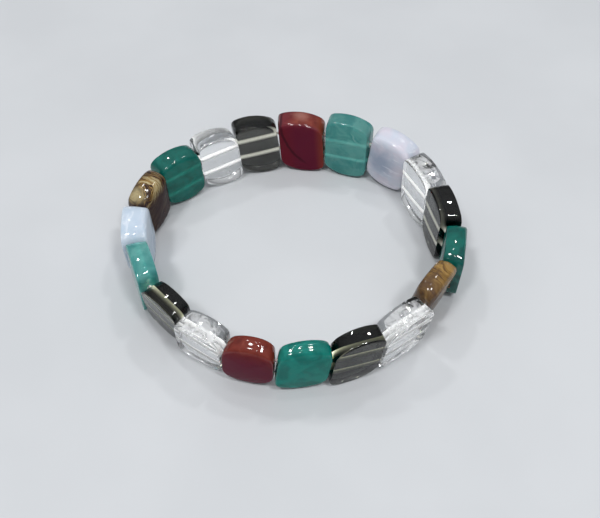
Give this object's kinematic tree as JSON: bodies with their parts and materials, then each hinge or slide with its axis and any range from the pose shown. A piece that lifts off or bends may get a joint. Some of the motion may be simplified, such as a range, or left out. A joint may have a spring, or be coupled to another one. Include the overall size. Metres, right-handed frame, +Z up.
{
  "type": "chakra bracelet",
  "caption": "Stretch bracelet of flat rounded stone beads in mixed colours, strung side by side on twin elastic threads, lying on its side.",
  "frame": {"origin": "The middle of the bracelet's outline on the table it lies on, in the middle of the wrist hollow.", "axes": "+Z runs up out of the table, along the hole that the wrist goes through. +Y points away from the viewer, +X to the picture's right."},
  "size_m": [0.0682, 0.0652, 0.0141],
  "materials": {
    "carnelian": "polished, slightly translucent brick red",
    "light_green": "polished, milky pale green",
    "white": "polished milky white with grey clouds",
    "clear_quartz": "polished, clear, with small fractures",
    "smoky": "polished, transparent smoky brown",
    "green": "polished, translucent sea green",
    "tiger_eye": "polished, golden brown bands",
    "elastic": "milky clear elastic cord"
  },
  "bodies": {
    "root": {"bead_01_carnelian": "carnelian", "bead_02_light_green": "light_green", "bead_03_white": "white", "bead_04_clear_quartz": "clear_quartz", "bead_05_smoky": "smoky", "bead_06_green": "green", "bead_07_tiger_eye": "tiger_eye", "bead_08_clear_quartz": "clear_quartz", "bead_09_smoky": "smoky", "bead_10_green": "green", "bead_11_carnelian": "carnelian", "bead_12_clear_quartz": "clear_quartz", "bead_13_smoky": "smoky", "bead_14_light_green": "light_green", "bead_15_white": "white", "bead_16_tiger_eye": "tiger_eye", "bead_17_green": "green", "bead_18_clear_quartz": "clear_quartz", "bead_19_smoky": "smoky", "thread_upper": "elastic", "thread_lower": "elastic"}
  },
  "joints": []
}
